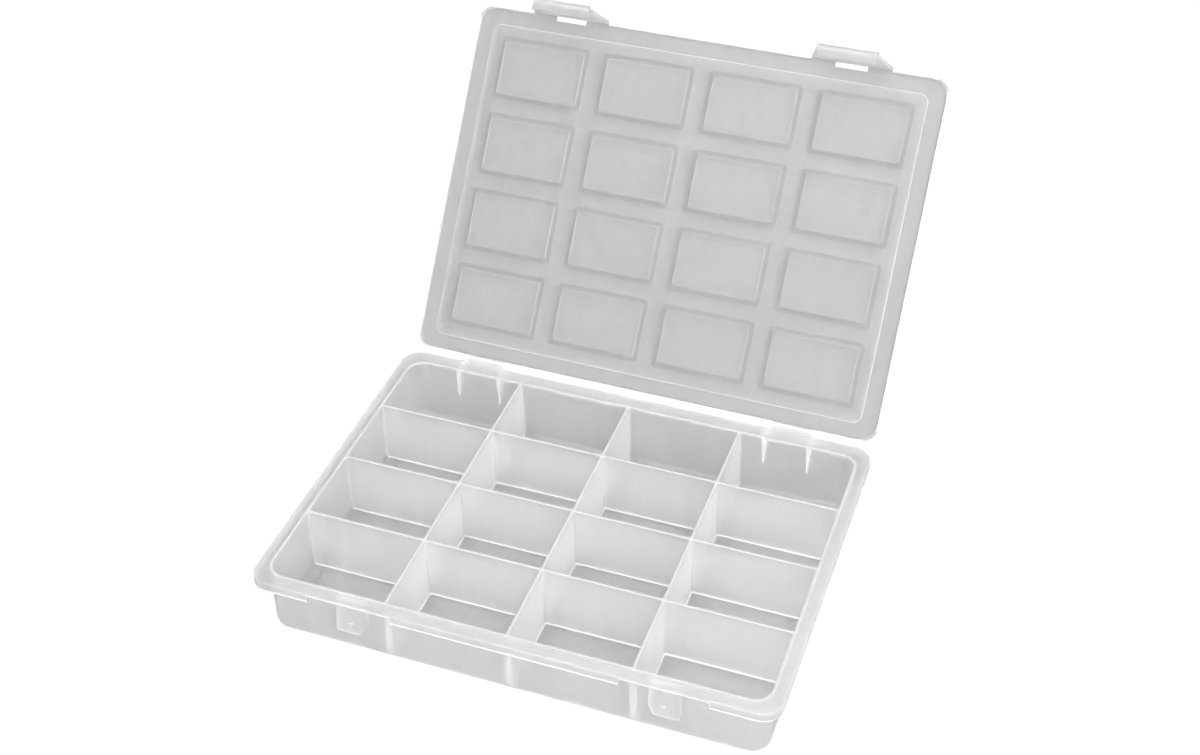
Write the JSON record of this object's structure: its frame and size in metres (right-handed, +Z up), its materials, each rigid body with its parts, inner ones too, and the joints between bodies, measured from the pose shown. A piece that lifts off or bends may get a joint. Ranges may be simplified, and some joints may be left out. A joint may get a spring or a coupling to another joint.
{
  "type": "compartment parts case",
  "caption": "Shallow see-through parts case divided into fixed compartments, with a rear-hinged lid that leans back open and snap latches on the lid's front edge.",
  "frame": {"origin": "on the resting surface, under the centre of the tray's rim in plan", "axes": "+X to the right seen from the latch side, +Y from the latches towards the hinges, +Z up out of the compartments"},
  "size_m": [0.25, 0.2978, 0.1958],
  "materials": {
    "tray_plastic": "milky translucent polypropylene, natural colour, satin moulded surface",
    "lid_plastic": "milky translucent polypropylene, natural colour, satin moulded surface"
  },
  "bodies": {
    "tray": {"tray_shell": "tray_plastic", "long_divider_1": "tray_plastic", "long_divider_2": "tray_plastic", "long_divider_3": "tray_plastic", "cross_divider_1_1": "tray_plastic", "cross_divider_1_2": "tray_plastic", "cross_divider_1_3": "tray_plastic", "cross_divider_1_4": "tray_plastic", "cross_divider_2_1": "tray_plastic", "cross_divider_2_2": "tray_plastic", "cross_divider_2_3": "tray_plastic", "cross_divider_2_4": "tray_plastic", "cross_divider_3_1": "tray_plastic", "cross_divider_3_2": "tray_plastic", "cross_divider_3_3": "tray_plastic", "cross_divider_3_4": "tray_plastic", "catch_plate_left": "tray_plastic", "catch_plate_right": "tray_plastic", "hinge_ear_1": "tray_plastic", "hinge_ear_2": "tray_plastic", "hinge_ear_3": "tray_plastic", "hinge_ear_4": "tray_plastic"},
    "lid": {"lid_panel": "lid_plastic", "lid_knuckle_left": "lid_plastic", "lid_knuckle_right": "lid_plastic"},
    "latch_left": {"latch_left": "lid_plastic"},
    "latch_right": {"latch_right": "lid_plastic"}
  },
  "joints": [
    {"name": "lid_hinge", "type": "hinge", "parent": "tray", "child": "lid", "pos_m": [0, 0.0936, 0.0337], "axis": [1, 0, 0], "range_deg": [0, 126.7]},
    {"name": "latch_left_flex", "type": "hinge", "parent": "lid", "child": "latch_left", "pos_m": [-0.074, 0.20665, 0.17843], "axis": [-1, 0, 0], "range_deg": [0, 40], "stiffness_Nm_per_rad": 0.02},
    {"name": "latch_right_flex", "type": "hinge", "parent": "lid", "child": "latch_right", "pos_m": [0.074, 0.20665, 0.17843], "axis": [-1, 0, 0], "range_deg": [0, 40], "stiffness_Nm_per_rad": 0.02}
  ]
}
